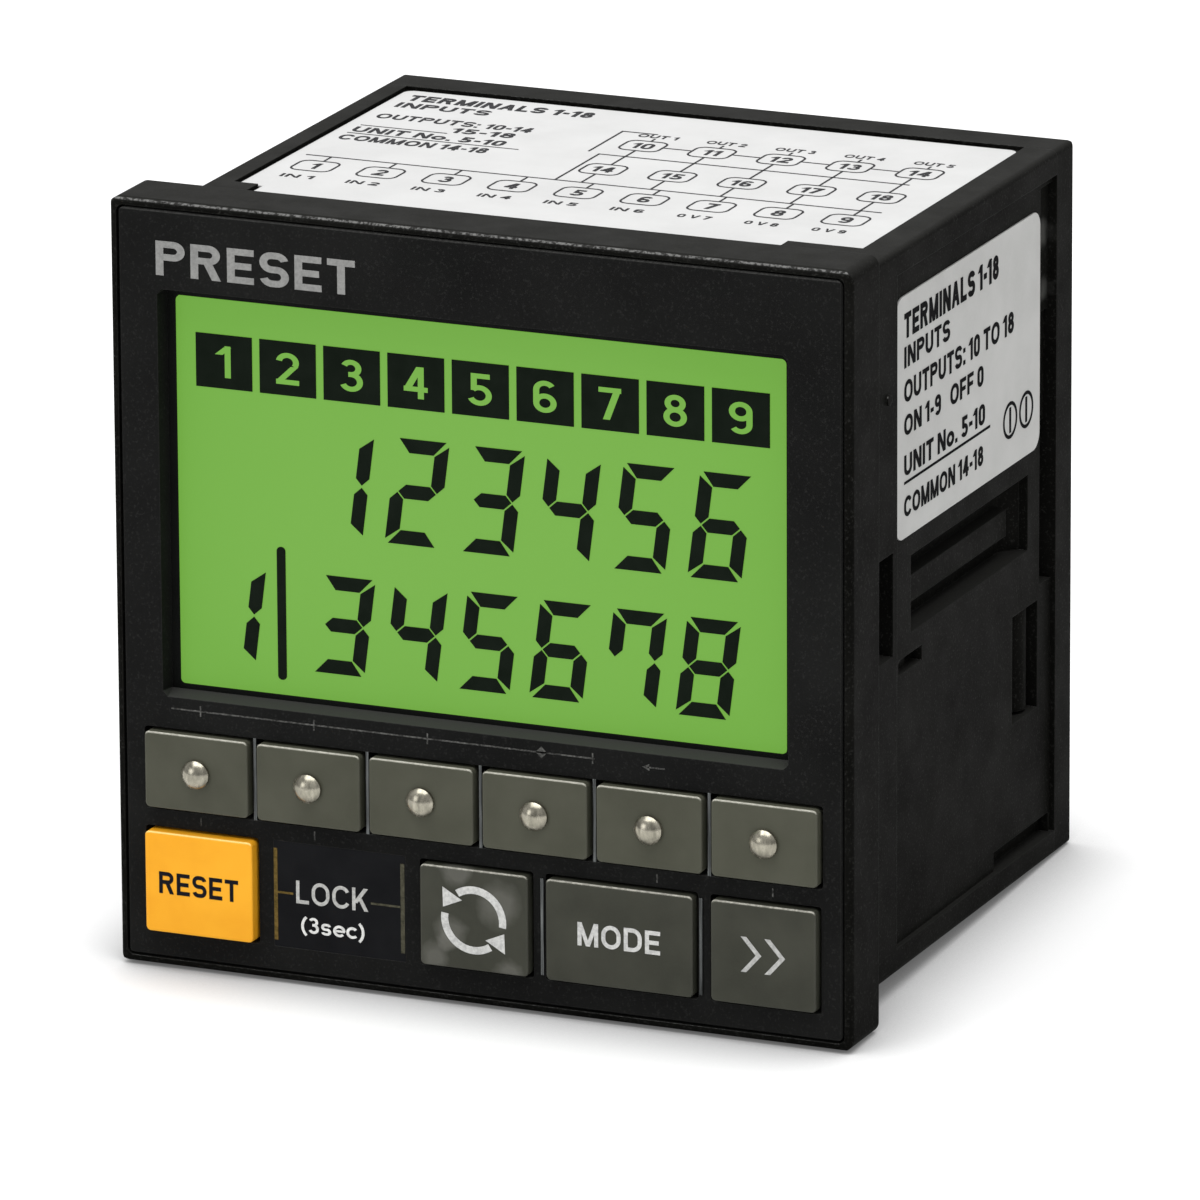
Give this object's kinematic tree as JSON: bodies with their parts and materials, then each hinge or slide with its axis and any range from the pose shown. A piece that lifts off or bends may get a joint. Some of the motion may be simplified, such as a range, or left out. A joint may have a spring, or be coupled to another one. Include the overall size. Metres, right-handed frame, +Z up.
{
  "type": "panel counter",
  "caption": "Square panel counter with a lit green display, a row of nubbed keys, a lower row with a reset key, and a deep case with rear screw terminals.",
  "frame": {"origin": "centre of the bezel's rear face, in the plane of the control panel's front", "axes": "+X to the right seen from the front, +Y to the rear along the depth, +Z up"},
  "size_m": [0.072, 0.0614, 0.072],
  "materials": {
    "case_black": "fine satin grain",
    "face_black": "fine moulded grain",
    "divider_strip": "satin",
    "lock_field": "smooth",
    "display_mask": "matt",
    "display_green": "lit from behind, matt",
    "display_ink": "matt",
    "light_guide": "clear",
    "led_white": "gloss",
    "contact_rubber": "matt",
    "circuit_board": "solder mask",
    "screw_steel": "plated",
    "contact_brass": "plated",
    "switch_black": "matt",
    "key_grey": "satin",
    "nub_metal": "satin",
    "reset_orange": "satin",
    "terminal_black": "matt",
    "chip_black": "matt",
    "relay_blue": "smooth",
    "ferrite": "matt",
    "winding_tape": "tape",
    "capacitor_sleeve": "sleeve",
    "label_white": "printed film",
    "label_grey": "printed film"
  },
  "bodies": {
    "housing": {"front_bezel": "case_black", "body_case": "case_black", "rear_cover": "case_black", "face_plate": "face_black", "key_dividers": "divider_strip", "lock_plate": "lock_field", "lcd_mask": "display_mask", "lcd_glass": "display_green", "lcd_segments": "display_ink", "lcd_number_tiles": "display_ink", "light_guide": "light_guide", "backlight_leds": "led_white", "contact_strip": "contact_rubber", "display_board": "circuit_board", "terminal_board": "circuit_board", "main_board": "circuit_board", "power_board": "circuit_board", "board_screws": "screw_steel", "terminal_screws": "screw_steel", "terminal_clamps": "screw_steel", "terminal_contacts": "contact_brass", "switch_domes": "contact_brass", "switch_frames": "switch_black", "board_headers": "switch_black", "upper_terminal_block": "terminal_black", "lower_terminal_block": "terminal_black", "processor": "chip_black", "output_relays": "relay_blue", "transformer_core": "ferrite", "transformer_coil": "winding_tape", "capacitors": "capacitor_sleeve", "top_label": "label_white", "side_label": "label_grey"},
    "key_1": {"key_1": "key_grey", "nub_1": "nub_metal"},
    "key_2": {"key_2": "key_grey", "nub_2": "nub_metal"},
    "key_3": {"key_3": "key_grey", "nub_3": "nub_metal"},
    "key_4": {"key_4": "key_grey", "nub_4": "nub_metal"},
    "key_5": {"key_5": "key_grey", "nub_5": "nub_metal"},
    "key_6": {"key_6": "key_grey", "nub_6": "nub_metal"},
    "reset_key": {"reset_key": "reset_orange"},
    "cycle_key": {"cycle_key": "key_grey"},
    "mode_key": {"mode_key": "key_grey"},
    "shift_key": {"shift_key": "key_grey"}
  },
  "joints": [
    {"name": "key_1_press", "type": "slide", "parent": "housing", "child": "key_1", "axis": [0, 1, 0], "range_m": [0, 0.0005], "stiffness_N_per_m": 3000},
    {"name": "key_2_press", "type": "slide", "parent": "housing", "child": "key_2", "axis": [0, 1, 0], "range_m": [0, 0.0005], "stiffness_N_per_m": 3000},
    {"name": "key_3_press", "type": "slide", "parent": "housing", "child": "key_3", "axis": [0, 1, 0], "range_m": [0, 0.0005], "stiffness_N_per_m": 3000},
    {"name": "key_4_press", "type": "slide", "parent": "housing", "child": "key_4", "axis": [0, 1, 0], "range_m": [0, 0.0005], "stiffness_N_per_m": 3000},
    {"name": "key_5_press", "type": "slide", "parent": "housing", "child": "key_5", "axis": [0, 1, 0], "range_m": [0, 0.0005], "stiffness_N_per_m": 3000},
    {"name": "key_6_press", "type": "slide", "parent": "housing", "child": "key_6", "axis": [0, 1, 0], "range_m": [0, 0.0005], "stiffness_N_per_m": 3000},
    {"name": "reset_key_press", "type": "slide", "parent": "housing", "child": "reset_key", "axis": [0, 1, 0], "range_m": [0, 0.0005], "stiffness_N_per_m": 3000},
    {"name": "cycle_key_press", "type": "slide", "parent": "housing", "child": "cycle_key", "axis": [0, 1, 0], "range_m": [0, 0.0005], "stiffness_N_per_m": 3000},
    {"name": "mode_key_press", "type": "slide", "parent": "housing", "child": "mode_key", "axis": [0, 1, 0], "range_m": [0, 0.0005], "stiffness_N_per_m": 3000},
    {"name": "shift_key_press", "type": "slide", "parent": "housing", "child": "shift_key", "axis": [0, 1, 0], "range_m": [0, 0.0005], "stiffness_N_per_m": 3000}
  ]
}
